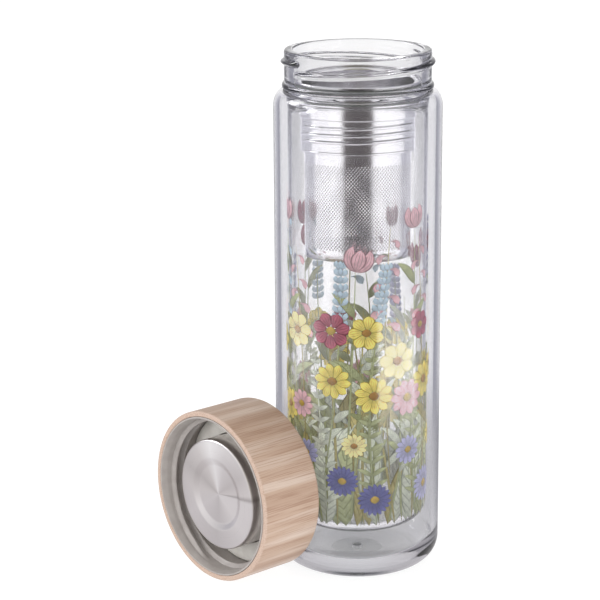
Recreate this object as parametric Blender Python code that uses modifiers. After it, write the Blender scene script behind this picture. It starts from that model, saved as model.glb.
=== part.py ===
"""A double-walled glass tea bottle with a lift-out steel infuser and a bamboo screw cap.

The bottle stands on its base with its axis on +Z, and the origin is the centre of the base.
The cap is taken off: it stands on its rim beside the bottle, with its flat top against the
glass and its mouth towards -X. All lengths are in metres.
"""

import math

import bmesh
import bpy

# Clearances and the round parts' facets
SEAT_GAP = 0.0003  # between pieces that touch
STEPS = 48  # facets round each turned piece
ARC_STEPS = 4  # facets on a rounded corner
SHARP_ANGLE = math.radians(30)
MERGE_DISTANCE = 0.000001  # closes the seam of a turned piece

# Infuser: every radius of the bottle is worked out from the basket outwards
BASKET_RADIUS = 0.0212
BASKET_LENGTH = 0.0550
BASKET_STEP = 0.0005  # the top band stands out this far
BASKET_STEP_HEIGHT = 0.0012
BASKET_OVERLAP = 0.0115  # how far the top band reaches up inside the collar
SHEET = 0.0005  # steel sheet
STRAINER_COLUMNS = 24  # facets round the basket; every second one has a hole
STRAINER_ROWS = 6
STRAINER_TOP_BAND = 0.0033  # plain sheet above the holes, below the step
STRAINER_FOOT_BAND = 0.0045  # plain sheet under the holes
STRAINER_BRIDGE = 0.0012  # least sheet left between two holes
INFUSER_BASE_RIM = 0.0030
INFUSER_BASE_CORNER = 0.0012
COLLAR_STEP = 0.0005
COLLAR_NECK_LENGTH = 0.0114
COLLAR_BAND_LENGTH = 0.0139
COLLAR_CUP_HEIGHT = 0.0014
COLLAR_CUP_CLEARANCE = 0.0007
COLLAR_CORNER = 0.0004
SEAL_WALL = 0.0010
SEAL_FLANGE = 0.0012
SEAL_SLEEVE = 0.0042

# Glass body
LEDGE_WIDTH = 0.0014  # the infuser hangs on this ledge
MOUTH_DEPTH = 0.0150  # rim to ledge
NECK_WALL = 0.00356
RIM_ROUND = 0.0011
THROAT_LENGTH = 0.0046
THROAT_FLARE = 0.0050
LINER_RELIEF = 0.0004
LINER_WALL = 0.0020
LINER_DEPTH = 0.1790  # ledge to the drinking floor
LINER_FLOOR = 0.0025
LINER_CORNER = 0.0060  # on the inside
WALL_GAP = 0.00315
FLOOR_GAP = 0.0143
OUTER_WALL = 0.00245
BASE_THICKNESS = 0.0042
BASE_CORNER = 0.0110  # inside the outer wall
HEEL_RADIUS = 0.0100
WAIST_DEPTH = 0.00076
WAIST_DROP = 0.0005  # ledge to waist
BEAD_PROUD = 0.00094
BEAD_RISE = 0.0010  # waist to the middle of the bead
BEAD_HEIGHT = 0.0026
SHOULDER_HEIGHT = 0.0071
VENT_RADIUS = 0.0020

# Cap
THREAD_HEIGHT = 0.00174  # the neck's thread stands out this far
THREAD_CLEARANCE = 0.0004
CAP_LINER_WALL = 0.0015
CAP_LINER_WEB = 0.0020
CAP_BOSS_WALL = 0.0018
CAP_SHELL_WALL = 0.0020
CAP_SHELL_TOP = 0.0090
CAP_TOP_ROUND = 0.0012
CAP_LIP_ROUND = 0.0006
CAP_GASKET = 0.0015
PLUG_CLEARANCE = 0.00173  # plug to the infuser's cup
PLUG_RECESS = 0.0032  # cap mouth to the plug's face
PLUG_CORNER = 0.0010
PLUG_STEP_RADIUS = 0.0154  # the face steps down to a dish here
PLUG_STEP_WIDTH = 0.0035
PLUG_DISH = 0.0011
CAP_OFFSET = 0.0205  # cap axis to bottle axis, along Y

# Radii, from the basket outwards
basket_band_radius = BASKET_RADIUS + BASKET_STEP
collar_band_radius = basket_band_radius + SEAT_GAP + SHEET
collar_neck_radius = collar_band_radius + COLLAR_STEP
seal_bore = collar_neck_radius + SEAT_GAP
throat_radius = seal_bore + SEAL_WALL + SEAT_GAP
mouth_radius = throat_radius + LEDGE_WIDTH
collar_cup_radius = mouth_radius - COLLAR_CUP_CLEARANCE
neck_radius = mouth_radius + NECK_WALL
liner_radius = mouth_radius + LINER_RELIEF
gap_inner_radius = liner_radius + LINER_WALL
gap_outer_radius = gap_inner_radius + WALL_GAP
body_radius = gap_outer_radius + OUTER_WALL

# Heights, from the base upwards
liner_underside = BASE_THICKNESS + FLOOR_GAP
liner_floor = liner_underside + LINER_FLOOR
ledge_height = liner_floor + LINER_DEPTH
rim_height = ledge_height + MOUTH_DEPTH
waist_height = ledge_height - WAIST_DROP
seal_flange_bottom = ledge_height + SEAT_GAP
collar_step_height = seal_flange_bottom + SEAL_FLANGE + SEAT_GAP
collar_bottom = collar_step_height - COLLAR_NECK_LENGTH - COLLAR_BAND_LENGTH
basket_top = collar_bottom + BASKET_OVERLAP
basket_bottom = basket_top - BASKET_LENGTH

# Cap sizes, along its own axis from its top face
cap_web_height = CAP_SHELL_TOP + SEAT_GAP
cap_gasket_height = cap_web_height + CAP_LINER_WEB + SEAT_GAP
cap_length = cap_gasket_height + CAP_GASKET + rim_height - waist_height
plug_face_height = cap_length - PLUG_RECESS
plug_radius = collar_cup_radius - SHEET - PLUG_CLEARANCE
cap_bore_radius = neck_radius + THREAD_HEIGHT + THREAD_CLEARANCE
cap_liner_radius = cap_bore_radius + CAP_LINER_WALL
cap_shell_bore = cap_liner_radius + SEAT_GAP
cap_radius = cap_shell_bore + CAP_SHELL_WALL


def clear_scene():
    for obj in list(bpy.data.objects):
        bpy.data.objects.remove(obj)


def material(name, colour, roughness, metallic=0.0, transmission=0.0, ior=1.45):
    made = bpy.data.materials.new(name)
    made.use_nodes = True
    shader = made.node_tree.nodes["Principled BSDF"]
    shader.inputs["Base Color"].default_value = (*colour, 1.0)
    shader.inputs["Roughness"].default_value = roughness
    shader.inputs["Metallic"].default_value = metallic
    shader.inputs["Transmission Weight"].default_value = transmission
    shader.inputs["IOR"].default_value = ior
    return made


def arc(centre_r, centre_z, radius_r, radius_z, start, end, steps=ARC_STEPS):
    """Points (r, z) on an elliptic corner, from the angle start to the angle end in degrees."""
    turns = [math.radians(start + (end - start) * i / steps) for i in range(steps + 1)]
    return [(centre_r + radius_r * math.cos(t), centre_z + radius_z * math.sin(t)) for t in turns]


def finish_mesh(obj):
    """Applies the modifiers, then shades the round faces smooth and keeps the corners sharp."""
    graph = bpy.context.evaluated_depsgraph_get()
    mesh = bpy.data.meshes.new_from_object(obj.evaluated_get(graph))
    mesh.name = obj.name
    obj.modifiers.clear()
    obj.data = mesh
    mesh.shade_smooth()
    mesh.set_sharp_from_angle(angle=SHARP_ANGLE)


def add_sheet(obj, thickness):
    """Gives an outer skin its wall, which grows inwards."""
    wall = obj.modifiers.new("Sheet", "SOLIDIFY")
    wall.thickness = thickness
    wall.offset = -1
    wall.use_even_offset = True


def turned(name, profile, finish, collection, parent=None, sheet=None):
    """A piece turned about its own Z axis. The profile's points (r, z) run down the outer side.

    With a sheet thickness the profile is the outer skin, and the wall grows inwards from it.
    """
    mesh = bpy.data.meshes.new(name)
    edges = [(i, i + 1) for i in range(len(profile) - 1)]
    if sheet is None and (profile[0][0] > 0 or profile[-1][0] > 0):
        edges.append((len(profile) - 1, 0))
    mesh.from_pydata([(r, 0, z) for r, z in profile], edges, [])
    mesh.materials.append(finish)
    obj = bpy.data.objects.new(name, mesh)
    collection.objects.link(obj)
    obj.parent = parent
    screw = obj.modifiers.new("Turn", "SCREW")
    screw.axis = "Z"
    screw.steps = screw.render_steps = STEPS
    screw.use_merge_vertices = True
    screw.merge_threshold = MERGE_DISTANCE
    screw.use_smooth_shade = True
    if sheet is not None:
        add_sheet(obj, sheet)
    finish_mesh(obj)
    return obj


def glass_profile():
    """The whole section of the fused double wall, from the drinking floor round to its underside."""
    bead_height = waist_height + BEAD_RISE
    bead_half = BEAD_HEIGHT / 2
    flare_bottom = ledge_height - THROAT_LENGTH - THROAT_FLARE
    waist_radius = neck_radius - WAIST_DEPTH
    shoulder_bottom = waist_height - SHOULDER_HEIGHT
    gap_shoulder = body_radius - waist_radius - OUTER_WALL
    gap_top = waist_height - OUTER_WALL
    liner_outer_corner = LINER_CORNER + LINER_WALL
    return [
        (0, liner_floor),
        *arc(liner_radius - LINER_CORNER, liner_floor + LINER_CORNER, LINER_CORNER, LINER_CORNER, -90, 0),
        *arc(throat_radius, flare_bottom, LINER_RELIEF + LEDGE_WIDTH, THROAT_FLARE, 0, 90),
        (throat_radius, ledge_height),
        (mouth_radius, ledge_height),
        *arc(mouth_radius + RIM_ROUND, rim_height - RIM_ROUND, RIM_ROUND, RIM_ROUND, 180, 90, 2),
        *arc(neck_radius - RIM_ROUND, rim_height - RIM_ROUND, RIM_ROUND, RIM_ROUND, 90, 0, 2),
        *arc(neck_radius, bead_height, BEAD_PROUD, bead_half, 90, -30, 4),
        *arc(waist_radius, shoulder_bottom, body_radius - waist_radius, SHOULDER_HEIGHT, 80, 0, 5),
        *arc(body_radius - HEEL_RADIUS, HEEL_RADIUS, HEEL_RADIUS, HEEL_RADIUS, 0, -90, 5),
        (VENT_RADIUS, 0),
        (VENT_RADIUS, BASE_THICKNESS),
        *arc(gap_outer_radius - BASE_CORNER, BASE_THICKNESS + BASE_CORNER, BASE_CORNER, BASE_CORNER, -90, 0),
        *arc(waist_radius, shoulder_bottom, gap_shoulder, SHOULDER_HEIGHT - OUTER_WALL, 0, 80),
        (gap_inner_radius, gap_top),
        *arc(
            gap_inner_radius - liner_outer_corner,
            liner_underside + liner_outer_corner,
            liner_outer_corner,
            liner_outer_corner,
            0,
            -90,
        ),
        (0, liner_underside),
    ]


def make_glass_body(collection):
    glass = material("borosilicate_glass", (0.95, 0.97, 0.96), 0.02, transmission=1.0, ior=1.473)
    turned("glass_body", glass_profile(), glass, collection)


def make_vent_seal(collection):
    """A drop of sealant closes the hole that the air left by, flush with the foot's pad."""
    radius = VENT_RADIUS - SEAT_GAP
    profile = [(0, BASE_THICKNESS), (radius, BASE_THICKNESS), (radius, 0), (0, 0)]
    turned("vent_seal", profile, material("clear_sealant", (0.88, 0.90, 0.89), 0.25), collection)


def make_basket(collection, infuser, steel):
    """The strainer: a tube whose chequered facets are inset and cut out, coarser than the real holes."""
    step_bottom = collar_bottom - BASKET_STEP_HEIGHT
    strainer_top = step_bottom - STRAINER_TOP_BAND
    strainer_bottom = basket_bottom + STRAINER_FOOT_BAND
    row_height = (strainer_top - strainer_bottom) / STRAINER_ROWS
    profile = [
        (basket_band_radius, basket_top),
        (basket_band_radius, collar_bottom),
        (BASKET_RADIUS, step_bottom),
        *((BASKET_RADIUS, strainer_top - i * row_height) for i in range(STRAINER_ROWS + 1)),
        (BASKET_RADIUS, basket_bottom),
    ]

    skin = bmesh.new()
    points = [skin.verts.new((r, 0, z)) for r, z in profile]
    line = [skin.edges.new(pair) for pair in zip(points, points[1:])]
    turn = dict(axis=(0, 0, 1), cent=(0, 0, 0), angle=math.tau, steps=STRAINER_COLUMNS)
    bmesh.ops.spin(skin, geom=points + line, use_merge=True, **turn)
    bmesh.ops.recalc_face_normals(skin, faces=skin.faces[:])
    holes = []
    for face in skin.faces:
        middle = face.calc_center_median()
        if strainer_bottom < middle.z < strainer_top:
            row = int((strainer_top - middle.z) / row_height)
            column = int(math.atan2(middle.y, middle.x) % math.tau / math.tau * STRAINER_COLUMNS)
            if (row + column) % 2 == 0:
                holes.append(face)
    bmesh.ops.inset_individual(skin, faces=holes, thickness=STRAINER_BRIDGE / 2)
    bmesh.ops.delete(skin, geom=holes, context="FACES")

    mesh = bpy.data.meshes.new("infuser_basket")
    skin.to_mesh(mesh)
    skin.free()
    mesh.materials.append(steel)
    basket = bpy.data.objects.new("infuser_basket", mesh)
    collection.objects.link(basket)
    basket.parent = infuser
    add_sheet(basket, SHEET)
    finish_mesh(basket)


def make_infuser(collection, infuser):
    steel = material("stainless_steel", (0.72, 0.72, 0.73), 0.22, metallic=1.0)
    silicone = material("clear_silicone", (0.86, 0.87, 0.86), 0.45)
    neck_bottom = collar_step_height - COLLAR_NECK_LENGTH
    collar = [
        (collar_cup_radius, collar_step_height + COLLAR_CUP_HEIGHT),
        *arc(
            collar_cup_radius - COLLAR_CORNER,
            collar_step_height + COLLAR_CORNER,
            COLLAR_CORNER,
            COLLAR_CORNER,
            0,
            -90,
            2,
        ),
        (collar_neck_radius, collar_step_height),
        (collar_neck_radius, neck_bottom),
        (collar_band_radius, neck_bottom - COLLAR_STEP),
        (collar_band_radius, collar_bottom),
    ]
    turned("infuser_collar", collar, steel, collection, infuser, sheet=SHEET)

    seal_top = seal_flange_bottom + SEAL_FLANGE
    seal_flange_radius = mouth_radius - SEAT_GAP
    seal_sleeve_radius = throat_radius - SEAT_GAP
    seal = [
        (seal_bore, seal_top),
        (seal_flange_radius, seal_top),
        (seal_flange_radius, seal_flange_bottom),
        (seal_sleeve_radius, seal_flange_bottom),
        (seal_sleeve_radius, seal_flange_bottom - SEAL_SLEEVE),
        (seal_bore, seal_flange_bottom - SEAL_SLEEVE),
    ]
    turned("infuser_seal", seal, silicone, collection, infuser)

    make_basket(collection, infuser, steel)

    base_radius = BASKET_RADIUS - SHEET - SEAT_GAP
    corner = INFUSER_BASE_CORNER
    base = [
        (base_radius, basket_bottom + INFUSER_BASE_RIM),
        *arc(base_radius - corner, basket_bottom + corner, corner, corner, 0, -90, 3),
        (0, basket_bottom),
    ]
    turned("infuser_base", base, steel, collection, infuser, sheet=SHEET)


def make_cap(collection, cap):
    bamboo = material("bamboo", (0.62, 0.42, 0.28), 0.5)
    polypropylene = material("grey_polypropylene", (0.55, 0.52, 0.48), 0.4)
    silicone = material("white_silicone", (0.86, 0.85, 0.82), 0.5)
    steel = material("brushed_steel", (0.66, 0.65, 0.64), 0.3, metallic=1.0)
    lip = CAP_LIP_ROUND
    top_round = CAP_TOP_ROUND
    shell = [
        (0, CAP_SHELL_TOP),
        (cap_shell_bore, CAP_SHELL_TOP),
        *arc(cap_shell_bore + lip, cap_length - lip, lip, lip, 180, 90, 2),
        *arc(cap_radius - lip, cap_length - lip, lip, lip, 90, 0, 2),
        *arc(cap_radius - top_round, top_round, top_round, top_round, 0, -90, 3),
        (0, 0),
    ]
    turned("cap_shell", shell, bamboo, collection, cap)

    boss_radius = plug_radius - SHEET - SEAT_GAP
    boss_bore = boss_radius - CAP_BOSS_WALL
    boss_top = plug_face_height - SHEET - SEAT_GAP - PLUG_DISH
    web_top = cap_web_height + CAP_LINER_WEB
    liner = [
        (0, boss_top),
        (boss_radius, boss_top),
        (boss_radius, web_top),
        (cap_bore_radius, web_top),
        (cap_bore_radius, cap_length),
        (cap_liner_radius, cap_length),
        (cap_liner_radius, cap_web_height),
        (boss_bore, cap_web_height),
        (boss_bore, boss_top - CAP_BOSS_WALL),
        (0, boss_top - CAP_BOSS_WALL),
    ]
    turned("cap_liner", liner, polypropylene, collection, cap)

    plug = [
        (0, plug_face_height - PLUG_DISH),
        (PLUG_STEP_RADIUS - PLUG_STEP_WIDTH, plug_face_height - PLUG_DISH),
        (PLUG_STEP_RADIUS, plug_face_height),
        *arc(plug_radius - PLUG_CORNER, plug_face_height - PLUG_CORNER, PLUG_CORNER, PLUG_CORNER, 90, 0, 3),
        (plug_radius, web_top + SEAT_GAP),
    ]
    turned("cap_plug", plug, steel, collection, cap, sheet=SHEET)

    gasket_top = cap_gasket_height + CAP_GASKET
    gasket_bore = plug_radius + SEAT_GAP
    gasket_radius = cap_bore_radius - SEAT_GAP
    gasket = [
        (gasket_bore, gasket_top),
        (gasket_radius, gasket_top),
        (gasket_radius, cap_gasket_height),
        (gasket_bore, cap_gasket_height),
    ]
    turned("cap_gasket", gasket, silicone, collection, cap)


def frame_empty(name, location, rotation=(0, 0, 0)):
    obj = bpy.data.objects.new(name, None)
    obj.location = location
    obj.rotation_euler = rotation
    bpy.context.scene.collection.objects.link(obj)
    return obj


def build():
    clear_scene()
    collection = bpy.data.collections.new("tea_infuser_bottle")
    bpy.context.scene.collection.children.link(collection)
    infuser = frame_empty("infuser_axis", (0, 0, 0))
    cap_place = (-body_radius - SEAT_GAP, CAP_OFFSET, cap_radius)
    cap = frame_empty("cap_axis", cap_place, (0, math.radians(-90), 0))
    make_glass_body(collection)
    make_vent_seal(collection)
    make_infuser(collection, infuser)
    make_cap(collection, cap)


build()
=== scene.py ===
# %% [markdown]
# # A double-walled glass tea bottle with its infuser and bamboo cap
# This lesson dresses a finished engineering model of a tea bottle. The solids are already there,
# at their real size, and say where every piece is and how it moves. Each cell takes one piece,
# says what it is on the real bottle, and makes the surface that the eye sees: glass with its
# thread, perforated steel, printed flowers, turned bamboo, a moulded liner and a brushed plug.

import math
import random

import bmesh
import bpy
from mathutils import Matrix, Vector


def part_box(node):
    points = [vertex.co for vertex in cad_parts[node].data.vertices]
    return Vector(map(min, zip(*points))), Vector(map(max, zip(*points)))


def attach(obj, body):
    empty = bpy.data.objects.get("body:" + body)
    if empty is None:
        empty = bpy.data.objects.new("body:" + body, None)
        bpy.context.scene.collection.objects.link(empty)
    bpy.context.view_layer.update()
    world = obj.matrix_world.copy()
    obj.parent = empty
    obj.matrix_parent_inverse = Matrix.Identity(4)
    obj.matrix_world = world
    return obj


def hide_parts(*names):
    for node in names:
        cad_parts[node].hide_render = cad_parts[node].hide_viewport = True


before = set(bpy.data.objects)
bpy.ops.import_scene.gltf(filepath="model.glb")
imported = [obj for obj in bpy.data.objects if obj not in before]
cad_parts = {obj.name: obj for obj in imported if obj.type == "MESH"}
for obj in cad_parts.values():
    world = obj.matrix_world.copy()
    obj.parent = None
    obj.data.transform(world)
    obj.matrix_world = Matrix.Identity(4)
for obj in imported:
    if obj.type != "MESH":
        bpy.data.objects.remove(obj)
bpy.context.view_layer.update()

# %% [markdown]
# ## Sizes
# Every size is in metres. The big ones are read from the solids' boxes, so a change of the model
# carries over. The small ones, such as a rounding or a wall, are written once here, in the order
# in which the bottle goes together: the glass from the foot up, then the infuser, then the cap.

# %% Sizes of the glass
MM = 0.001
GLASS_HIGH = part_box("glass_body")[1]
BODY_RADIUS = GLASS_HIGH.x
RIM_HEIGHT = GLASS_HIGH.z
COLLAR_LOW, COLLAR_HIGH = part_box("infuser_collar")
SEAL_LOW, SEAL_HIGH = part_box("infuser_seal")
BASKET_LOW, BASKET_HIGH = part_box("infuser_basket")
SEAT_GAP = 0.3 * MM  # between two pieces that touch
MOUTH_RADIUS = SEAL_HIGH.x + SEAT_GAP
THROAT_RADIUS = MOUTH_RADIUS - 1.4 * MM  # the infuser's ring hangs on this ledge
LEDGE_HEIGHT = RIM_HEIGHT - 15.0 * MM
NECK_RADIUS = MOUTH_RADIUS + 3.56 * MM
LINER_RADIUS = MOUTH_RADIUS + 0.4 * MM  # inside of the inner wall
LINER_OUTSIDE = LINER_RADIUS + 2.0 * MM
WALL_INSIDE = BODY_RADIUS - 2.45 * MM  # inside of the outer wall
LINER_FLOOR = 21.0 * MM
LINER_UNDERSIDE = 18.5 * MM
BASE_THICKNESS = 4.2 * MM
OUTER_WALL = BODY_RADIUS - WALL_INSIDE
WAIST_HEIGHT = LEDGE_HEIGHT - 0.5 * MM
SHOULDER_HEIGHT = 7.1 * MM
VENT_RADIUS = 2.0 * MM
ROUND_STEPS = 192
print("bottle radius", round(BODY_RADIUS, 4), "rim height", round(RIM_HEIGHT, 4))

# %% [markdown]
# ## Helpers for materials
# Colours are written as the sRGB hex values that a colour picker shows, and turned into the
# linear light that shaders work in. Nodes are all added by one function: it takes the node's
# kind, what goes into its sockets, the stops if it is a colour ramp, and its settings. A socket
# takes a value or another node, and then it is linked to the first output which that node uses.
# No real surface is the same all over, so most finishes have a pattern that carries a little tint,
# roughness or relief.

# %% Colours, nodes and materials


def linear(hex_colour):
    """An sRGB hex colour as linear RGBA."""
    parts = [int(hex_colour[i : i + 2], 16) / 255 for i in (1, 3, 5)]
    return tuple(c / 12.92 if c <= 0.04045 else ((c + 0.055) / 1.055) ** 2.4 for c in parts) + (1.0,)


def feed(tree, node, inputs):
    """Sets or links a node's sockets."""
    for socket, value in inputs.items():
        if isinstance(value, bpy.types.Node):
            value = next(output for output in value.outputs if output.enabled)
        if isinstance(value, bpy.types.NodeSocket):
            tree.links.new(value, node.inputs[socket])
        else:
            node.inputs[socket].default_value = value


def add(tree, kind, inputs=None, stops=(), **settings):
    """Adds a node. Each stop of a colour ramp is a place from 0 to 1 and a hex colour."""
    node = tree.nodes.new("ShaderNode" + kind)
    for name, value in settings.items():
        setattr(node, name, value)
    feed(tree, node, inputs or {})
    if stops:
        elements = node.color_ramp.elements
        while len(elements) < len(stops):
            elements.new(0.5)
        for element, (place, colour) in zip(elements, stops):
            element.position = place
            element.color = linear(colour)
    return node


def finish(name, base, roughness, **sockets):
    """A Principled material, its tree, its shader, and the place on the object for patterns."""
    made = bpy.data.materials.new(name)
    made.use_nodes = True
    tree = made.node_tree
    shader = tree.nodes["Principled BSDF"]
    constants = {socket.replace("_", " "): value for socket, value in sockets.items()}
    feed(tree, shader, {"Base Color": linear(base), "Roughness": roughness} | constants)
    return made, tree, shader, add(tree, "TexCoord").outputs["Object"]


def carry(tree, shader, pattern, tint=(), rough=None, relief=None):
    """Lets a pattern carry a tint, a range of roughness, and a relief of a strength and a height."""
    skin = {}
    if tint:
        skin["Base Color"] = add(tree, "ValToRGB", {"Fac": pattern}, tint)
    if rough:
        low, high = rough
        skin["Roughness"] = add(tree, "MapRange", {"Value": pattern, "To Min": low, "To Max": high})
    if relief:
        strength, height = relief
        skin["Normal"] = add(tree, "Bump", {"Height": pattern, "Strength": strength, "Distance": height})
    feed(tree, shader, skin)


def clouded(name, base, roughness, cloud, tint, rough=None, **sockets):
    """A material of one moulded stuff, whose tint and roughness wander a little as it is handled."""
    made, tree, shader, place = finish(name, base, roughness, **sockets)
    scale, detail = cloud
    noise = add(tree, "TexNoise", {"Vector": place, "Scale": scale, "Detail": detail})
    carry(tree, shader, noise, tint=tint, rough=rough)
    return made, tree, shader, place


# %% [markdown]
# ## Helpers for turned pieces
# Nearly everything here is turned: a section is drawn on one side of the axis and spun round it.
# A section is a list of corners, each with the radius that rounds it, which keeps the drawing as
# short as a drawing on paper. `bmesh.ops.spin` then makes the faces.

# %% Sections and spinning


def arc(centre_r, centre_z, radius_r, radius_z, start, end, steps):
    """Points on an elliptic arc, from one angle to another in degrees."""
    turns = [math.radians(start + (end - start) * i / steps) for i in range(steps + 1)]
    return [(centre_r + radius_r * math.cos(t), centre_z + radius_z * math.sin(t)) for t in turns]


def rounded(corners, steps=6):
    """Points of an outline. A corner is (r, z), or (r, z, rounding)."""
    points = []
    for i, corner in enumerate(corners):
        here = Vector(corner[:2])
        rounding = corner[2] if len(corner) > 2 else 0
        if not rounding:
            points.append(tuple(here))
            continue
        to_last = (Vector(corners[i - 1][:2]) - here).normalized()
        to_next = (Vector(corners[(i + 1) % len(corners)][:2]) - here).normalized()
        half = to_last.angle(to_next) / 2
        centre = here + (to_last + to_next).normalized() * rounding / math.sin(half)
        start = here + to_last * rounding / math.tan(half) - centre
        end = here + to_next * rounding / math.tan(half) - centre
        for k in range(steps + 1):
            points.append(tuple(centre + start.slerp(end, k / steps) * rounding))
    return points


def subdivided(start, end, count):
    """Points on a straight stretch, without its two ends."""
    return [tuple(Vector(start).lerp(Vector(end), i / count)) for i in range(1, count)]


def spun(points, closed=True, steps=ROUND_STEPS):
    """A bmesh made by turning a section about Z."""
    skin = bmesh.new()
    verts = [skin.verts.new((r, 0, z)) for r, z in points]
    pairs = list(zip(verts, verts[1:]))
    if closed and not (points[0][0] < 1e-7 and points[-1][0] < 1e-7):
        pairs.append((verts[-1], verts[0]))
    line = [skin.edges.new(pair) for pair in pairs]
    turn = dict(axis=(0, 0, 1), cent=(0, 0, 0), angle=math.tau, steps=steps)
    bmesh.ops.spin(skin, geom=verts + line, use_merge=True, **turn)
    bmesh.ops.remove_doubles(skin, verts=skin.verts[:], dist=0.0002 * MM)
    bmesh.ops.recalc_face_normals(skin, faces=skin.faces[:])
    return skin


def show(name, data):
    """A new object in the scene."""
    made = bpy.data.objects.new(name, data)
    bpy.context.scene.collection.objects.link(made)
    return made


def piece(name, skin, material, body, node, slot, place=None, sharp=35):
    """Turns a bmesh into a finished piece that stands for a solid and rides with its body."""
    mesh = bpy.data.meshes.new(name)
    skin.to_mesh(mesh)
    skin.free()
    if place:
        mesh.transform(place)
    mesh.shade_smooth()
    mesh.set_sharp_from_angle(angle=math.radians(sharp))
    mesh.materials.append(material)
    made = show(name, mesh)
    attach(made, body)
    if node:
        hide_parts(node)
    print(name, len(mesh.polygons), "faces")
    return made


# %% [markdown]
# ## The camera
# The photograph looks down at the bottle by about 15 degrees, from the side where the cap's mouth
# shows. A long lens keeps the bottle's sides nearly upright. The place and the lens were found by
# fitting the outlines of rim, foot, walls and cap, so the render can be laid over the photograph.

# %% Camera
CAMERA_PLACE = Vector((-0.5504, -0.5941, 0.3305))
CAMERA_FORWARD = Vector((0.6351, 0.7270, -0.2613)).normalized()
CAMERA_ROLL = math.radians(0.348)
LENS_MM = 122.48
SENSOR_MM = 36.0

camera_data = bpy.data.cameras.new("camera")
camera_data.lens = LENS_MM
camera_data.sensor_width = SENSOR_MM
camera_data.clip_start = 0.01
camera = show("camera", camera_data)
level_right = CAMERA_FORWARD.cross(Vector((0, 0, 1))).normalized()
level_up = level_right.cross(CAMERA_FORWARD)
right = level_right * math.cos(CAMERA_ROLL) - level_up * math.sin(CAMERA_ROLL)
up = level_right * math.sin(CAMERA_ROLL) + level_up * math.cos(CAMERA_ROLL)
turn = Matrix((right, up, -CAMERA_FORWARD)).transposed()
camera.matrix_world = Matrix.Translation(CAMERA_PLACE) @ turn.to_4x4()
bpy.context.scene.camera = camera
print("camera at", tuple(round(c, 3) for c in camera.location))

# %% [markdown]
# ## The glass
# The bottle is borosilicate tube, worked in a flame: an inner bottle is set into an outer one and
# the two are fused at the neck. So it is one piece with one section, which runs from the drinking
# floor up the inside, over the rim, down the outside, and through the vent under the foot into the
# gap between the walls. A glass piece needs every one of these faces, because light bends at each.
# The thread is not a second mesh laid on the neck: that would put a wall inside the glass.
# Instead, the neck has close rings, and their points move outwards along the helix.

# %% Section of the glass
LINER_CORNER = 6.0 * MM
UNDERSIDE_CORNER = 8.0 * MM
HEEL_RADIUS = 10.0 * MM
BASE_CORNER = 11.0 * MM
RIM_ROUND = 1.1 * MM
THROAT_BOTTOM = LEDGE_HEIGHT - 4.6 * MM
FLARE_BOTTOM = THROAT_BOTTOM - 5.0 * MM
WAIST_RADIUS = NECK_RADIUS - 0.76 * MM
BEAD_PROUD = 0.94 * MM
BEAD_MIDDLE = WAIST_HEIGHT + 1.0 * MM
BEAD_HALF = 1.3 * MM
GROUND_RADIUS = 10.8 * MM
NECK_RINGS = 46


def glass_section():
    flare_width = LINER_RADIUS - THROAT_RADIUS
    neck_top = (NECK_RADIUS, RIM_HEIGHT - RIM_ROUND)
    neck_foot = (NECK_RADIUS, BEAD_MIDDLE + BEAD_HALF)
    shoulder_foot = WAIST_HEIGHT - SHOULDER_HEIGHT
    floor_corner = (LINER_RADIUS, LINER_FLOOR, LINER_CORNER)
    inside = rounded([(0, LINER_FLOOR), floor_corner, (LINER_RADIUS, FLARE_BOTTOM)], 10)
    inside += arc(THROAT_RADIUS, FLARE_BOTTOM, flare_width, THROAT_BOTTOM - FLARE_BOTTOM, 9, 90, 9)
    ledge = rounded(
        [
            (THROAT_RADIUS, THROAT_BOTTOM),
            (THROAT_RADIUS, LEDGE_HEIGHT, 0.4 * MM),
            (MOUTH_RADIUS, LEDGE_HEIGHT, 0.5 * MM),
            (MOUTH_RADIUS, RIM_HEIGHT, RIM_ROUND),
            (NECK_RADIUS, RIM_HEIGHT, RIM_ROUND),
            (NECK_RADIUS, BEAD_MIDDLE),
        ],
        6,
    )[1:-1]
    neck = subdivided(neck_top, neck_foot, NECK_RINGS)
    neck += arc(NECK_RADIUS, BEAD_MIDDLE, BEAD_PROUD, BEAD_HALF, 90, -35, 10)
    shoulder = arc(WAIST_RADIUS, shoulder_foot, BODY_RADIUS - WAIST_RADIUS, SHOULDER_HEIGHT, 82, 0, 16)
    foot = rounded(
        [
            (BODY_RADIUS, shoulder_foot),
            (BODY_RADIUS, 0, HEEL_RADIUS),
            (GROUND_RADIUS, 0),
            (VENT_RADIUS, 0),
            (VENT_RADIUS, BASE_THICKNESS),
            (WALL_INSIDE, BASE_THICKNESS, BASE_CORNER),
            (WALL_INSIDE, shoulder_foot - 1.0 * MM),
        ],
        12,
    )[1:]
    gap_height = SHOULDER_HEIGHT - OUTER_WALL
    gap = arc(WAIST_RADIUS, shoulder_foot, WALL_INSIDE - WAIST_RADIUS, gap_height, 0, 85, 12)
    fused = WAIST_HEIGHT - OUTER_WALL
    gap += [(LINER_OUTSIDE + 0.15 * MM, fused - 0.1 * MM), (LINER_OUTSIDE, fused - 0.4 * MM)]
    under_corner = (LINER_OUTSIDE, LINER_UNDERSIDE, UNDERSIDE_CORNER)
    under = rounded([(LINER_OUTSIDE, RIM_HEIGHT), under_corner, (0, LINER_UNDERSIDE)], 10)[1:]
    return inside + ledge + neck + shoulder + foot + gap + under


# %% [markdown]
# The thread has two starts, right-handed, and climbs 8 mm a turn. Each start runs a little over
# half way round and fades at both ends, as a pressed thread does.

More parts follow.
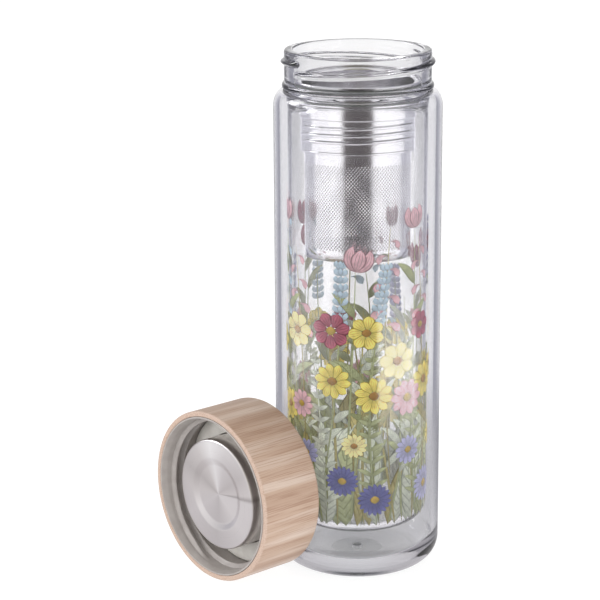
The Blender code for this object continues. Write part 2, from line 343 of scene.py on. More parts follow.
# %% Thread of the neck
THREAD_LEAD = 8.0 * MM
THREAD_STARTS = 2
THREAD_PROUD = 1.35 * MM
NECK_THREAD = dict(
    start=-191.0,  # degrees, as the span and the fade are
    start_height=RIM_HEIGHT - 8.23 * MM,
    lead=THREAD_LEAD,
    span=190.0,
    fade=14.0,
    half_width=1.45 * MM,
    starts=THREAD_STARTS,
)


def smooth(x):
    x = min(max(x, 0.0), 1.0)
    return x * x * (3 - 2 * x)


def thread_height(place, start, start_height, lead, span, fade, half_width, starts=1):
    """How far a thread stands out at a place, from 0 to 1. Its starts share the turn evenly."""
    turn = math.degrees(math.atan2(place.y, place.x))
    best = 0.0
    for k in range(starts):
        along = (turn - (start + 360.0 * k / starts)) % 360.0
        while along <= span:
            off = abs(place.z - (start_height + lead * along / 360.0)) / half_width
            if off < 1:
                ends = smooth(along / fade) * smooth((span - along) / fade)
                best = max(best, ends * (1 - off * off) ** 1.5)
            along += 360.0
    return best


def widen(vert, factor):
    vert.co.x *= factor
    vert.co.y *= factor


def press_neck_thread(skin):
    """Moves the points of the neck's outside out along both starts of the thread."""
    moved = 0
    for vert in skin.verts:
        radius = math.hypot(vert.co.x, vert.co.y)
        on_neck = BEAD_MIDDLE < vert.co.z < RIM_HEIGHT - RIM_ROUND * 0.5
        if not on_neck or radius < NECK_RADIUS - 0.2 * MM:
            continue
        proud = thread_height(vert.co, **NECK_THREAD)
        if proud:
            widen(vert, max(radius, NECK_RADIUS + THREAD_PROUD * proud) / radius)
            moved += 1
    print("thread moved", moved, "points")


# %% [markdown]
# Borosilicate glass bends light with an index of 1.47. It is clear, and greys a little where light
# runs a long way through it, which a volume that absorbs light gives: so much for each metre.
# Drawn tube is never quite even, so a slow and very weak unevenness, drawn out along the tube,
# makes the reflections live.

# %% Material: drawn borosilicate glass
GLASS_INDEX = 1.473
GLASS_TINT = (0.02, 0.0, 0.07, 1.0)
GLASS_TINT_PER_METRE = 34.0


def borosilicate_glass(name, base, roughness, clear, stretch, pattern, relief):
    made, tree, shader, place = finish(name, base, roughness, IOR=GLASS_INDEX, Transmission_Weight=clear)
    drawn = add(tree, "Mapping", {"Vector": place, "Scale": stretch})
    carry(tree, shader, add(tree, "TexNoise", {"Vector": drawn} | pattern), relief=relief)
    depth = add(tree, "VolumeAbsorption", {"Color": GLASS_TINT, "Density": GLASS_TINT_PER_METRE})
    feed(tree, tree.nodes["Material Output"], {"Volume": depth})
    return made


waves = {"Scale": 60.0, "Detail": 1.0}
faint = (0.008, 0.2 * MM)
glass = borosilicate_glass("drawn_borosilicate_glass", "#FCFCFC", 0.0, 1.0, (1.0, 1.0, 0.25), waves, faint)
glass_skin = spun(glass_section())
press_neck_thread(glass_skin)
labels = dict(body="bottle", node="glass_body", slot="borosilicate_glass")
bottle = piece("fused_glass_bottle", glass_skin, glass, **labels, sharp=60)

# %% [markdown]
# The middle of the foot is ground flat, and so is the wall of the vent, before it is sealed.
# Ground glass is the same glass with a rough skin, so it shows as a soft grey disc through the base.

# %% Material: ground glass
grit = {"Scale": 2200.0, "Detail": 2.0}
pits = (0.4, 0.05 * MM)
etched = borosilicate_glass("ground_borosilicate_glass", "#BCBFBE", 0.6, 0.55, (1.0, 1.0, 1.0), grit, pits)
bottle.data.materials.append(etched)
ground = 0
for face in bottle.data.polygons:
    out = face.center.xy.length
    underside = face.center.z < 0.01 * MM and out < GROUND_RADIUS
    vent = face.center.z < BASE_THICKNESS and out < VENT_RADIUS + 0.1 * MM
    if underside or vent:
        face.material_index = 1
        ground += 1
print("ground faces", ground)

# %% [markdown]
# ## The vent's seal
# A drop of sealant fills the hole under the foot. It is a soft, slightly milky plug. The solid has
# the right shape already, so it only gets its material.

# %% Material: clear sealant
SILICONE_INDEX = 1.41
milky = dict(tint=[(0.3, "#DADCDC"), (0.7, "#E6E8E8")], IOR=SILICONE_INDEX, Transmission_Weight=0.6)
sealant = clouded("cast_clear_sealant", "#E0E2E2", 0.5, (900.0, 2.0), **milky)[0]
vent_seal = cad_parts["vent_seal"]
vent_seal.data.materials.clear()
vent_seal.data.materials.append(sealant)
print("the vent's seal has", len(vent_seal.data.polygons), "faces")

# %% [markdown]
# ## The infuser's steel
# The infuser is bright stainless sheet, 0.3 to 0.5 mm thick, drawn and rolled on a lathe. The
# rolling leaves very fine rings, so the roughness and the bump follow the height, and hardly
# change round the piece.

# %% Material: rolled stainless sheet
SHEET = 0.5 * MM
BASKET_SHEET = 0.3 * MM
CUP_SHEET = 0.4 * MM


def rolled_stainless_sheet():
    made, tree, shader, place = finish("rolled_stainless_sheet", "#E0DFE1", 0.15, Metallic=1.0)
    rings = add(tree, "Mapping", {"Vector": place, "Scale": (0.02, 0.02, 1.0)})
    fine = add(tree, "TexNoise", {"Vector": rings, "Scale": 2500.0, "Detail": 3.0})
    smudges = add(tree, "TexNoise", {"Vector": place, "Scale": 90.0, "Detail": 2.0})
    carry(tree, shader, smudges, tint=[(0.35, "#DAD9DC"), (0.65, "#E6E5E7")])
    carry(tree, shader, fine, rough=(0.1, 0.2), relief=(0.06, 0.02 * MM))
    return made


steel = rolled_stainless_sheet()
print("the steel's pattern takes", len(steel.node_tree.nodes), "nodes")


def sheet_metal(made, thickness=SHEET):
    """Gives a finished outer skin its wall, which grows inwards."""
    wall = made.modifiers.new("Sheet", "SOLIDIFY")
    wall.thickness = thickness
    wall.offset = -1
    wall.use_even_offset = True


# %% [markdown]
# ## The collar
# The collar hangs in the glass neck by its cup. Below the neck it has a rolled thread, which shows
# as three or four bright and dark lines, and ends in a smooth band with a small bead.

# %% Collar with its rolled thread
COLLAR_NECK_RADIUS = 23.0 * MM
COLLAR_BAND_RADIUS = 22.5 * MM
COLLAR_TOP = COLLAR_HIGH.z
CUP_RADIUS = COLLAR_HIGH.x
CUP_STEP = SEAL_HIGH.z + SEAT_GAP
COLLAR_NECK_FOOT = CUP_STEP - 11.4 * MM
COLLAR_BOTTOM = COLLAR_LOW.z
BAND_TOP = COLLAR_NECK_FOOT - 0.6 * MM
BAND_FOOT = COLLAR_BOTTOM + 1.2 * MM  # the hem's bead is under it
ROLLED_PROUD = 0.5 * MM
ROLLED_THREAD = dict(
    start=0.0,
    start_height=COLLAR_NECK_FOOT - 10.6 * MM,
    lead=2.8 * MM,
    span=360.0 * 2.9,
    fade=40.0,
    half_width=0.8 * MM,
)


def collar_section():
    cup = rounded(
        [
            (CUP_RADIUS - 0.3 * MM, COLLAR_TOP),
            (CUP_RADIUS, COLLAR_TOP - 0.5 * MM, 0.3 * MM),
            (CUP_RADIUS, CUP_STEP, 0.6 * MM),
            (COLLAR_NECK_RADIUS, CUP_STEP, 0.5 * MM),
            (COLLAR_NECK_RADIUS, COLLAR_NECK_FOOT, 0.4 * MM),
            (COLLAR_BAND_RADIUS, BAND_TOP),
        ],
        5,
    )
    hem = [(COLLAR_BAND_RADIUS, BAND_FOOT)]
    rolled = subdivided(cup[-1], hem[0], 64)
    hem += arc(COLLAR_BAND_RADIUS, COLLAR_BOTTOM + 0.5 * MM, 0.35 * MM, 0.5 * MM, 90, -90, 6)
    return cup + rolled + hem


def roll_collar_thread(skin):
    for vert in skin.verts:
        if BAND_FOOT < vert.co.z < BAND_TOP:
            widen(vert, 1 + ROLLED_PROUD * thread_height(vert.co, **ROLLED_THREAD) / COLLAR_BAND_RADIUS)


collar_skin = spun(collar_section(), closed=False)
roll_collar_thread(collar_skin)
sheet_metal(piece("rolled_collar", collar_skin, steel, "infuser", "infuser_collar", "stainless_steel"))

# %% [markdown]
# ## The strainer basket
# The basket is a tube of etched sheet with thousands of small holes in staggered rows. Real holes
# are under half a millimetre. Here they are drawn coarser, so that they still show in the render:
# the tube is spun as a fine grid, every second facet of the grid is inset, and the inner facets
# are deleted. That gives true holes through which light passes.

# %% Basket with its holes
BASKET_RADIUS = 21.2 * MM
BASKET_BAND_RADIUS = 21.7 * MM
BASKET_TOP = BASKET_HIGH.z
BASKET_BOTTOM = BASKET_LOW.z
HOLES_TOP = COLLAR_BOTTOM - 4.5 * MM
HOLES_BOTTOM = BASKET_BOTTOM + 4.5 * MM
HOLE_COLUMNS = 200
HOLE_ROWS = 44
HOLE_BRIDGE = 0.16 * MM


def basket_section():
    top = [(BASKET_BAND_RADIUS, BASKET_TOP), (BASKET_BAND_RADIUS, COLLAR_BOTTOM)]
    step = [(BASKET_RADIUS + 0.1 * MM, COLLAR_BOTTOM - 0.9 * MM), (BASKET_RADIUS, COLLAR_BOTTOM - 1.3 * MM)]
    rows = [(BASKET_RADIUS, HOLES_TOP)]
    rows += subdivided(rows[0], (BASKET_RADIUS, HOLES_BOTTOM), HOLE_ROWS)
    return top + step + rows + [(BASKET_RADIUS, HOLES_BOTTOM), (BASKET_RADIUS, BASKET_BOTTOM)]


def punch_holes(skin):
    row_height = (HOLES_TOP - HOLES_BOTTOM) / HOLE_ROWS
    holes = []
    for face in skin.faces:
        middle = face.calc_center_median()
        if HOLES_BOTTOM < middle.z < HOLES_TOP:
            row = int((HOLES_TOP - middle.z) / row_height)
            column = int(math.atan2(middle.y, middle.x) % math.tau / math.tau * HOLE_COLUMNS)
            if (row + column) % 2 == 0:
                holes.append(face)
    bmesh.ops.inset_individual(skin, faces=holes, thickness=HOLE_BRIDGE / 2)
    bmesh.ops.delete(skin, geom=holes, context="FACES")
    print("punched", len(holes), "holes")


basket_skin = spun(basket_section(), closed=False, steps=HOLE_COLUMNS)
punch_holes(basket_skin)
basket = piece("strainer_basket", basket_skin, steel, "infuser", "infuser_basket", "stainless_steel")
sheet_metal(basket, BASKET_SHEET)

# %% [markdown]
# The basket's bottom is a small pressed cup, welded in. Its flat face has one pressed ring, which
# keeps thin sheet from drumming.

# %% Basket bottom
BASE_CUP_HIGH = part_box("infuser_base")[1]
PRESSED_RING_RADIUS = 13.0 * MM


def base_cup_section():
    radius = BASE_CUP_HIGH.x
    ring, pressed = PRESSED_RING_RADIUS, BASKET_BOTTOM + 0.5 * MM
    return rounded(
        [
            (radius, BASE_CUP_HIGH.z),
            (radius, BASKET_BOTTOM, 1.2 * MM),
            (ring + 1.2 * MM, BASKET_BOTTOM, 0.6 * MM),
            (ring + 0.6 * MM, pressed, 0.4 * MM),
            (ring - 0.6 * MM, pressed, 0.4 * MM),
            (ring - 1.2 * MM, BASKET_BOTTOM, 0.6 * MM),
            (0, BASKET_BOTTOM),
        ],
        5,
    )


cup_skin = spun(base_cup_section(), closed=False)
base_cup = piece("pressed_base_cup", cup_skin, steel, "infuser", "infuser_base", "stainless_steel")
sheet_metal(base_cup, CUP_SHEET)

# %% [markdown]
# ## The infuser's seal
# A soft ring sits under the collar's cup, so that steel never touches glass. It is clear silicone,
# moulded, slightly milky.

# %% Seal ring and moulded silicone


def moulded_silicone(name, low, high, clear):
    skin = dict(tint=[(0.3, low), (0.7, high)], rough=(0.36, 0.52))
    soft = dict(IOR=SILICONE_INDEX, Transmission_Weight=clear)
    return clouded(name, high, 0.42, (260.0, 3.0), **skin, **soft)[0]


def seal_section():
    bore = COLLAR_NECK_RADIUS + SEAT_GAP
    sleeve = THROAT_RADIUS - SEAT_GAP
    flange_foot = LEDGE_HEIGHT + SEAT_GAP
    soft = 0.3 * MM
    return rounded(
        [
            (bore, SEAL_HIGH.z, soft),
            (SEAL_HIGH.x, SEAL_HIGH.z, soft),
            (SEAL_HIGH.x, flange_foot, soft),
            (sleeve, flange_foot),
            (sleeve, SEAL_LOW.z, soft),
            (bore, SEAL_LOW.z, soft),
        ],
        4,
    )


clear_silicone = moulded_silicone("clear_moulded_silicone", "#D9DCDB", "#EEF0EF", 0.5)
piece("seal_ring", spun(seal_section()), clear_silicone, "infuser", "infuser_seal", "clear_silicone")

# %% [markdown]
# ## The printed flowers
# The inner wall carries a fired print of meadow flowers, which is seen through the outer wall. A
# print could be a picture wrapped round the glass, but this one is drawn as the printer's films
# are: every petal, leaf and stem is one brush stroke, a small grid laid along a curve and wrapped
# on the wall. Each stroke carries its own ink colour and two coordinates, across and along, from
# which the material draws outlines and veins. The design is a plain, general one.

# %% One brush stroke
PRINT_RADIUS = LINER_OUTSIDE + 0.06 * MM
FILM = 0.02 * MM  # one layer of ink and its gap to the next
HAIR_LINE = 0.06  # millimetres from a stroke's middle to its edge where it ends
PETAL, LEAF, DOTS = 0.0, 0.5, 1.0  # what the material draws on a stroke


def print_sheet():
    skin = bmesh.new()
    skin.verts.layers.float_vector.new("stroke")
    skin.verts.layers.float_color.new("ink")
    return skin


def stroke(skin, start, bend, end, width, widest, ink, kind, lift, across=4, along=8):
    """A stroke from start to end, pulled towards bend. Places are millimetres round and up."""
    stroke_layer = skin.verts.layers.float_vector["stroke"]
    ink_layer = skin.verts.layers.float_color["ink"]
    start, bend, end = Vector(start), Vector(bend), Vector(end)
    power = math.log(0.5) / math.log(widest)  # the stroke is widest at this part of its way
    grid = bmesh.ops.create_grid(skin, x_segments=across, y_segments=along, size=1.0)
    for vert in grid["verts"]:
        side, way = vert.co.x, (vert.co.y + 1) / 2
        centre = start.lerp(bend, way).lerp(bend.lerp(end, way), way)
        ahead = (bend - start).lerp(end - bend, way).normalized()
        half = width / 2 * max(math.sin(math.pi * way**power), 0.0) ** 0.75 + HAIR_LINE
        spot = centre + Vector((ahead.y, -ahead.x)) * side * half
        radius = PRINT_RADIUS + lift * FILM
        turn = spot.x * MM / PRINT_RADIUS
        vert.co = (radius * math.cos(turn), radius * math.sin(turn), spot.y * MM)
        vert[stroke_layer] = (side, way, kind)
        vert[ink_layer] = linear(ink)


# %% Stems and leaves
FERN_ROWS = 15


def stem(skin, foot, head, lean, ink, lift, width=0.75):
    middle = ((foot[0] + head[0]) / 2 + lean, (foot[1] + head[1]) / 2)
    stroke(skin, foot, middle, head, width, 0.35, ink, LEAF, lift, across=2, along=20)
    return middle


def on_stem(foot, middle, head, way):
    foot, middle, head = Vector(foot), Vector(middle), Vector(head)
    return foot.lerp(middle, way).lerp(middle.lerp(head, way), way)


def leaf(skin, foot, angle, length, width, ink, lift, curl=0.18):
    """A pointed leaf. The angle is in degrees from straight up, to the right."""
    way = Vector((math.sin(math.radians(angle)), math.cos(math.radians(angle))))
    side = Vector((way.y, -way.x)) * (curl if angle > 0 else -curl)
    foot = Vector(foot)
    bend, tip = foot + (way * 0.5 - side) * length, foot + way * length
    stroke(skin, foot, bend, tip, width, 0.42, ink, LEAF, lift, 4, 12)


def fern(skin, foot, head, lean, ink, lift):
    middle = stem(skin, foot, head, lean, ink, lift, 0.6)
    for i in range(2, FERN_ROWS):
        spot = on_stem(foot, middle, head, i / FERN_ROWS)
        for side in (-1, 1):
            leaf(skin, spot, side * 62, 8.5 - 0.42 * i, 1.9, ink, lift + 1 + i % 2, 0.1)


# %% Flower heads
PETAL_OVERLAP = 1.25


def open_flower(skin, spot, radius, petals, ink, heart, lift, turn):
    """A flower seen from the front: a ring of petals round a dotted heart."""
    spot = Vector(spot)
    broad = radius * math.tau * 0.62 / petals * PETAL_OVERLAP
    for i in range(petals):
        aim = turn + math.tau * i / petals
        way = Vector((math.sin(aim), math.cos(aim)))
        side = Vector((way.y, -way.x)) * radius * 0.08
        start, bend, tip = (spot + way * radius * part for part in (0.1, 0.55, 1.0))
        stroke(skin, start, bend + side, tip, broad, 0.66, ink, PETAL, lift + i % 3)
    heart_radius = radius * 0.24
    low, high = spot - Vector((0, heart_radius)), spot + Vector((0, heart_radius))
    stroke(skin, low, spot, high, heart_radius * 2.2, 0.5, heart, DOTS, lift + 4)


def cup_flower(skin, spot, height, ink, lift, lean):
    """A closed cup: two side petals and a middle one in front."""
    spot = Vector(spot)
    up = Vector((math.sin(lean), math.cos(lean)))
    side = Vector((up.y, -up.x))
    for k, order in ((-1, 0), (1, 1)):
        bend = spot + up * height * 0.4 + side * k * height * 0.52
        tip = spot + up * height + side * k * height * 0.34
        stroke(skin, spot, bend, tip, height * 0.5, 0.5, ink, PETAL, lift + order)
    bend, tip = spot + up * height * 0.5, spot + up * height * 0.92
    stroke(skin, spot, bend, tip, height * 0.62, 0.52, ink, PETAL, lift + 2)


def bell_spray(skin, foot, head, lean, ink, green, lift, bells=7):
    """A nodding stem with small bells that hang to both sides."""
    middle = stem(skin, foot, head, lean, green, lift, 0.55)
    for i in range(bells):
        spot = on_stem(foot, middle, head, 0.62 + 0.38 * i / bells)
        side = -1 if i % 2 else 1
        bend = spot + Vector((side * 4.0, 1.2))
        tip = spot + Vector((side * (6.0 - 0.35 * i), -3.2))
        stroke(skin, spot, bend, tip, 3.6 - 0.2 * i, 0.74, ink, PETAL, lift + 1 + i % 2, 4, 6)


def spike(skin, foot, head, lean, ink, green, lift, rows=9):
    """A straight stem whose top is set with whorls of small florets."""
    middle = stem(skin, foot, head, lean, green, lift, 0.6)
    for i in range(rows):
        spot = on_stem(foot, middle, head, 0.7 + 0.3 * i / rows)
        for side in (-1, 0, 1):
            bend = spot + Vector((side * 2.4, 0.8))
            tip = spot + Vector((side * (3.0 - 0.18 * i), 3.0))
            stroke(skin, spot, bend, tip, 2.2, 0.6, ink, PETAL, lift + 1 + (i + side) % 3, 2, 4)


# %% [markdown]
# The meadow is planted round the whole bottle, in three heights: broad leaves and low flowers at
# the foot, open flowers in the middle, and light sprays on top, which leave the glass clear
# between them. The places come from a seeded random generator, so each run gives the same meadow.

# %% The meadow
ROUND = math.tau * PRINT_RADIUS / MM  # once round the wall, in millimetres
FRONT = -132.8 / 360.0 * ROUND  # the side that faces the camera
PRINT_FOOT = 23.5
LEAF_LIFT, TALL_LIFT, OPEN_LIFT = 8, 16, 26  # films lie over each other in this order
PINK, ROSE, YELLOW, LEMON = "#DDB4BC", "#A9566A", "#EAD873", "#F1E6A6"
VIOLET, LILAC, SKY = "#5E6098", "#AFAFD0", "#BFD2E0"
GREEN, OLIVE, SAGE, MOSS = "#AAB084", "#ADA36C", "#C9CEBE", "#8B9060"


def plant_leaves(skin, chance):
    broad, sprigs, ferns = 44, 46, 9
    for i in range(broad):
        place = FRONT + ROUND * (i + chance.uniform(-0.3, 0.3)) / broad
        tint = chance.choice((SAGE, SAGE, GREEN, OLIVE))
        foot, angle = (place, PRINT_FOOT), chance.uniform(-34, 34)
        leaf(skin, foot, angle, chance.uniform(26, 56), chance.uniform(7, 12), tint, i % 7, 0.14)
    for i in range(sprigs):
        place = FRONT + ROUND * (i + chance.uniform(-0.4, 0.4)) / sprigs
        foot, head = (place, PRINT_FOOT), (place + chance.uniform(-9, 9), chance.uniform(60, 118))
        tint = chance.choice((GREEN, OLIVE, MOSS))
        middle = stem(skin, foot, head, chance.uniform(-5, 5), tint, LEAF_LIFT + i % 3, 1.0)
        for way, side in ((0.5, 1), (0.68, -1), (0.84, 1)):
            spot, angle = on_stem(foot, middle, head, way), side * chance.uniform(28, 58)
            length = chance.uniform(8, 15)
            leaf(skin, spot, angle, length, 3.4, chance.choice((SAGE, GREEN, tint)), LEAF_LIFT + 3)
    for i in range(ferns):
        place = FRONT + ROUND * (i + 0.4) / ferns
        foot, head = (place, PRINT_FOOT), (place + chance.uniform(-10, 10), chance.uniform(78, 112))
        lean = chance.uniform(-6, 6)
        fern(skin, foot, head, lean, chance.choice((SAGE, MOSS, GREEN)), LEAF_LIFT + 4)


def plant_tall(skin, chance):
    kinds = ("spike", "bells", "cup", "bells", "spike", "cup", "cup")
    inks = {"spike": (LILAC, SKY), "bells": (SKY, PINK), "cup": (PINK, ROSE)}
    stems = 20
    for i in range(stems):
        kind = kinds[i % len(kinds)]
        foot = (FRONT + ROUND * (i + 0.5) / stems, 40 + chance.uniform(0, 12))
        head = (foot[0] + chance.uniform(-8, 8), chance.uniform(122, 158))
        ink, lean = chance.choice(inks[kind]), chance.uniform(-5, 5)
        if kind == "spike":
            spike(skin, foot, head, lean, ink, GREEN, TALL_LIFT)
        elif kind == "bells":
            bell_spray(skin, foot, head, lean, ink, OLIVE, TALL_LIFT)
        else:
            middle = stem(skin, foot, head, lean, GREEN, TALL_LIFT)
            height = chance.uniform(9, 12)
            cup_flower(skin, head, height, ink, TALL_LIFT + 2, chance.uniform(-0.3, 0.3))
            for way, side in ((0.45, -1), (0.62, 1), (0.78, -1)):
                leaf(skin, on_stem(foot, middle, head, way), side * 42, 13, 3.6, GREEN, TALL_LIFT + 1)


def plant_open(skin, chance):
    rows = (  # how many, height, spread of height, radii, inks, petals
        (13, 98, 12, (5.5, 8.0), (YELLOW, LEMON, ROSE, YELLOW, PINK), 7),
        (13, 78, 9, (5.0, 8.0), (LEMON, YELLOW, PINK, YELLOW, ROSE), 10),
        (10, 57, 7, (5.0, 7.5), (YELLOW, PINK, LEMON, LILAC), 13),
        (9, 38, 5, (6.5, 8.5), (VIOLET, LILAC, VIOLET), 18),
    )
    for row, (count, height, spread, sizes, inks, petals) in enumerate(rows):
        for i in range(count):
            place = FRONT + ROUND * (i + 0.5 * (row % 2) + chance.uniform(-0.25, 0.25)) / count
            spot = (place, height + chance.uniform(-spread, spread))
            ink = inks[(i + row) % len(inks)]
            heart = "#B89A3C" if ink not in (YELLOW, LEMON) else "#A87A34"
            lift = OPEN_LIFT + 6 * (3 - row) + 6 * (i % 2)
            radius, turn = chance.uniform(*sizes), chance.uniform(0, 1)
            open_flower(skin, spot, radius, petals, ink, heart, lift, turn)


# %% [markdown]
# Ceramic ink is ground colour in melted glass. It dries uneven, like watercolour: darker at the
# foot of a stroke, lighter at its tip, with a fine dark outline and veins. The film is opaque and
# has a soft shine. Real ink also lets some light through from behind, and a slight glow stands in
# for that.

# %% Material: fired ceramic ink
INK_GLOW = 0.4
PETAL_VEINS, LEAF_VEINS, LEAF_SLANT = 15.0, 70.0, -9.0  # radians of a wave over a stroke


def fired_ceramic_ink():
    film = dict(IOR=1.5, Emission_Strength=INK_GLOW)
    made, tree, shader, place = finish("fired_ceramic_ink", "#D8C9B0", 0.38, **film)
    ink = add(tree, "Attribute", attribute_name="ink").outputs["Color"]
    parts = add(tree, "SeparateXYZ", {0: add(tree, "Attribute", attribute_name="stroke").outputs["Vector"]})
    across, way, kind = (parts.outputs[axis] for axis in "XYZ")
    side = add(tree, "Math", {0: across}, operation="ABSOLUTE")
    wash = add(tree, "TexNoise", {"Vector": place, "Scale": 420.0, "Detail": 3.0})
    pooled = add(tree, "MapRange", {"Value": way, "From Max": 0.9, "To Min": 0.72, "To Max": 1.25})
    washed = {"From Min": 0.3, "From Max": 0.7, "To Min": 0.82, "To Max": 1.22}
    uneven = add(tree, "MapRange", {"Value": wash} | washed)
    light = add(tree, "Math", {0: pooled, 1: uneven}, operation="MULTIPLY")
    tone = add(tree, "HueSaturation", {"Color": ink, "Value": light})

    edge = add(tree, "MapRange", {"Value": side, "From Min": 0.8, "From Max": 0.92})
    comb = add(tree, "Math", {0: across, 1: PETAL_VEINS}, operation="MULTIPLY")
    petal_wave = add(tree, "Math", {0: comb}, operation="COSINE")
    slant = add(tree, "Math", {0: way, 1: LEAF_VEINS, 2: 0.0}, operation="MULTIPLY_ADD")
    slanted = add(tree, "Math", {0: side, 1: LEAF_SLANT, 2: slant}, operation="MULTIPLY_ADD")
    leaf_wave = add(tree, "Math", {0: slanted}, operation="COSINE")
    is_leaf = add(tree, "Math", {0: kind, 1: LEAF / 2}, operation="GREATER_THAN")
    wave = add(tree, "Mix", {0: is_leaf, 2: petal_wave, 3: leaf_wave}, data_type="FLOAT")
    veins = add(tree, "MapRange", {"Value": wave, "From Min": 0.6, "From Max": 1.0, "To Max": 0.75})
    lines = add(tree, "Math", {0: edge, 1: veins}, operation="MAXIMUM")
    line_ink = add(tree, "HueSaturation", {"Color": ink, "Saturation": 1.25, "Value": 0.42})
    drawn = add(tree, "Mix", data_type="RGBA")
    feed(tree, drawn, {"Factor": lines, "A": tone, "B": line_ink})
    feed(tree, shader, {"Base Color": drawn, "Emission Color": drawn})
    carry(tree, shader, wash, relief=(0.15, 0.02 * MM))
    return made


# %% Lay the print on the wall


def fire_print(name, skin, ink):
    """Turns every stroke's face outwards and gives the film its thickness."""
    skin.normal_update()
    inward = [f for f in skin.faces if f.normal.dot(Vector((*f.calc_center_median().xy, 0))) < 0]
    bmesh.ops.reverse_faces(skin, faces=inward)
    skin.normal_update()
    film = piece(name, skin, ink, "bottle", None, "borosilicate_glass", sharp=180)
    wall = film.modifiers.new("Film", "SOLIDIFY")
    wall.thickness = FILM / 2
    wall.offset = -1


ceramic_ink = fired_ceramic_ink()
chance = random.Random(11)
leaf_sheet = print_sheet()
plant_leaves(leaf_sheet, chance)
plant_tall(leaf_sheet, chance)
fire_print("printed_leaves", leaf_sheet, ceramic_ink)
flower_sheet = print_sheet()
plant_open(flower_sheet, chance)
fire_print("printed_flowers", flower_sheet, ceramic_ink)

# %% [markdown]
# ## Where the cap lies
# The cap stands on its side next to the bottle, with its flat top against the glass. Its pieces
# are drawn with their axis upright, from the top face at height 0 to the mouth, and one matrix
# lays them down. The matrix goes into the mesh, so each object still sits at the origin.

# %% The cap's place
SHELL_LOW, SHELL_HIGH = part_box("cap_shell")
CAP_LENGTH = SHELL_HIGH.x - SHELL_LOW.x
CAP_RADIUS = (SHELL_HIGH.z - SHELL_LOW.z) / 2
CAP_MIDDLE = Vector((SHELL_HIGH.x, (SHELL_LOW.y + SHELL_HIGH.y) / 2, CAP_RADIUS))
CAP_PLACE = Matrix.Translation(CAP_MIDDLE) @ Matrix.Rotation(math.radians(-90), 4, "Y")
print("cap radius", round(CAP_RADIUS, 4), "length", round(CAP_LENGTH, 4))

# %% [markdown]
# ## The bamboo shell
# Bamboo has no rings like wood. Its stem is soft tissue with hard fibre bundles running along it.
# The cap is turned with the fibres along its axis, so the side shows fine straight streaks and the
# cut ends show dots, on a plainer and slightly darker ground. One solid pattern gives both: noise
# that is stretched along the axis. Real bundles are about half a millimetre apart.

# %% Material: turned bamboo
CUT_END = 0.9 * MM  # how far from a cut end its look begins
CENTRED = tuple(-c for c in CAP_MIDDLE)
BAMBOO_STRIPS = [(0.3, "#AD907C"), (0.5, "#BCA28F"), (0.68, "#CEBBAD")]
BAMBOO_STREAKS = [(0.36, "#C4A796"), (0.5, "#FFFFFF"), (1.0, "#FFFFFF")]
BAMBOO_DOTS = [(0.36, "#A98D7C"), (0.52, "#C0A898"), (1.0, "#C6AFA0")]


def turned_bamboo():
    made, tree, shader, place = finish("turned_bamboo", "#CDB09A", 0.46, IOR=1.5)
    centred = add(tree, "Mapping", {"Vector": place, "Location": CENTRED})
    long_fibre = add(tree, "Mapping", {"Vector": centred, "Scale": (0.02, 1.0, 1.0)})
    slow = add(tree, "Mapping", {"Vector": centred, "Location": (0, 0, 0.031), "Scale": (0.05, 1.0, 1.0)})
    fibres = add(tree, "TexNoise", {"Vector": long_fibre, "Scale": 2100.0, "Detail": 5.0, "Roughness": 0.6})
    strips = add(tree, "TexNoise", {"Vector": slow, "Scale": 160.0, "Detail": 2.0})
    ground = add(tree, "ValToRGB", {"Fac": strips}, BAMBOO_STRIPS)
    streaks = add(tree, "ValToRGB", {"Fac": fibres}, BAMBOO_STREAKS)
    side = add(tree, "Mix", data_type="RGBA", blend_type="MULTIPLY")
    feed(tree, side, {"A": ground, "B": streaks, "Factor": 0.55})
    along = add(tree, "SeparateXYZ", {0: centred}).outputs["X"]
    off_middle = add(tree, "Math", {0: along, 1: CAP_LENGTH / 2}, operation="ADD")
    beyond = add(tree, "Math", {0: off_middle}, operation="ABSOLUTE")
    edges = {"From Min": CAP_LENGTH / 2 - CUT_END, "From Max": CAP_LENGTH / 2 - CUT_END / 3}
    cut_end = add(tree, "MapRange", {"Value": beyond} | edges)
    dots = add(tree, "ValToRGB", {"Fac": fibres}, BAMBOO_DOTS)
    turned = add(tree, "Mix", {"Factor": cut_end}, data_type="RGBA")
    feed(tree, turned, {"A": side, "B": dots})
    feed(tree, shader, {"Base Color": turned})
    carry(tree, shader, fibres, rough=(0.4, 0.6), relief=(0.3, 0.05 * MM))
    return made


# %% Shell
LINER_LOW, LINER_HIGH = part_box("cap_liner")
CAP_LINER_RADIUS = (LINER_HIGH.z - LINER_LOW.z) / 2
PRESS_GAP = 0.1 * MM
SHELL_BORE = CAP_LINER_RADIUS + PRESS_GAP
SHELL_TOP = 9.0 * MM


def shell_section():
    return rounded(
        [
            (0, SHELL_TOP),
            (SHELL_BORE, SHELL_TOP, 0.4 * MM),
            (SHELL_BORE, CAP_LENGTH, 0.5 * MM),
            (CAP_RADIUS, CAP_LENGTH, 0.7 * MM),
            (CAP_RADIUS, 0, 1.3 * MM),
            (0, 0),
        ],
        6,
    )


piece("bamboo_shell", spun(shell_section()), turned_bamboo(), "cap", "cap_shell", "bamboo", CAP_PLACE)

# %% [markdown]
# ## The liner
# The liner is moulded polypropylene, warm grey. It carries the cap's thread: two starts that stand
# inwards, with the same climb as the glass thread.

# %% Material: moulded polypropylene


def moulded_polypropylene():
    satin = dict(tint=[(0.3, "#9E9793"), (0.7, "#ABA5A1")], rough=(0.32, 0.46), IOR=1.49)
    made, tree, shader, place = clouded("moulded_polypropylene", "#A9A29C", 0.38, (220.0, 4.0), **satin)
    grain = add(tree, "TexNoise", {"Vector": place, "Scale": 3500.0, "Detail": 1.0})
    carry(tree, shader, grain, relief=(0.08, 0.02 * MM))
    return made


